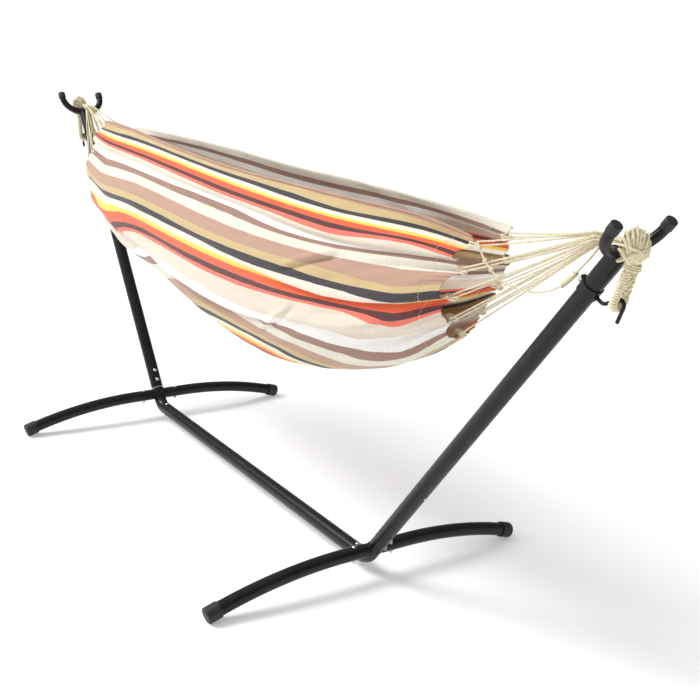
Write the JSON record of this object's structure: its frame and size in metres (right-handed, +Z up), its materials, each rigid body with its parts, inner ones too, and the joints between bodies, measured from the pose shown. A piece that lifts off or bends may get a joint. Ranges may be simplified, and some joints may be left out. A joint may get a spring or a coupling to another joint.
{
  "type": "hammock on stand",
  "caption": "Striped cloth hammock hung by fanned cotton cords between the forked arms of a bolted tubular steel stand on four arched feet.",
  "frame": {"origin": "on the floor, under the middle of the stand", "axes": "+X along the stand to its right end, +Y to its back, +Z up"},
  "size_m": [2.906, 0.9998, 1.1025],
  "materials": {
    "powder_coat": "gloss black powder coat",
    "bare_steel": "bare drawn tube",
    "bolt_steel": "zinc plated",
    "cap_plastic": "matt black moulded",
    "bed_cloth": "woven cotton in lengthwise stripes",
    "cotton_cord": "undyed twisted cotton"
  },
  "bodies": {
    "stand": {"base_beam": "powder_coat", "elbow_left": "powder_coat", "elbow_right": "powder_coat", "arm_sleeve_left": "bare_steel", "arm_sleeve_right": "bare_steel", "arm_lower_left": "powder_coat", "arm_lower_right": "powder_coat", "arm_upper_left": "powder_coat", "arm_upper_right": "powder_coat", "button_spring_left": "bolt_steel", "button_spring_right": "bolt_steel", "yoke_left": "powder_coat", "yoke_right": "powder_coat", "hook_collar_left": "powder_coat", "hook_collar_right": "powder_coat", "hook_left": "powder_coat", "hook_right": "powder_coat", "end_knot_left": "cotton_cord", "end_knot_right": "cotton_cord", "wrapped_loop_left": "cotton_cord", "wrapped_loop_right": "cotton_cord", "foot_front_left": "powder_coat", "foot_front_right": "powder_coat", "foot_rear_left": "powder_coat", "foot_rear_right": "powder_coat", "foot_cap_front_left": "cap_plastic", "foot_cap_front_right": "cap_plastic", "foot_cap_rear_left": "cap_plastic", "foot_cap_rear_right": "cap_plastic", "yoke_caps": "cap_plastic", "arm_bolts": "bolt_steel", "arm_nuts": "bolt_steel", "base_bolts": "bolt_steel", "base_nuts": "bolt_steel", "foot_bolts": "bolt_steel", "foot_nuts": "bolt_steel", "collar_bolts": "bolt_steel", "collar_nuts": "bolt_steel"},
    "hammock": {"bed_fabric": "bed_cloth", "fan_cords_left": "cotton_cord", "fan_cords_right": "cotton_cord", "gather_left": "cotton_cord", "gather_right": "cotton_cord", "lanyard": "cotton_cord"},
    "button_left": {"snap_button_left": "bolt_steel"},
    "button_right": {"snap_button_right": "bolt_steel"}
  },
  "joints": [
    {"name": "hammock_swing", "type": "hinge", "parent": "stand", "child": "hammock", "pos_m": [0, 0, 1.051], "axis": [1, 0, 0], "range_deg": [-25, 25]},
    {"name": "button_press_right", "type": "slide", "parent": "stand", "child": "button_right", "axis": [-0.8039, 0, 0.5948], "range_m": [0, 0.005], "stiffness_N_per_m": 400, "springref_m": -0.003},
    {"name": "button_press_left", "type": "slide", "parent": "stand", "child": "button_left", "axis": [0.8039, 0, 0.5948], "range_m": [0, 0.005], "stiffness_N_per_m": 400, "springref_m": -0.003}
  ]
}
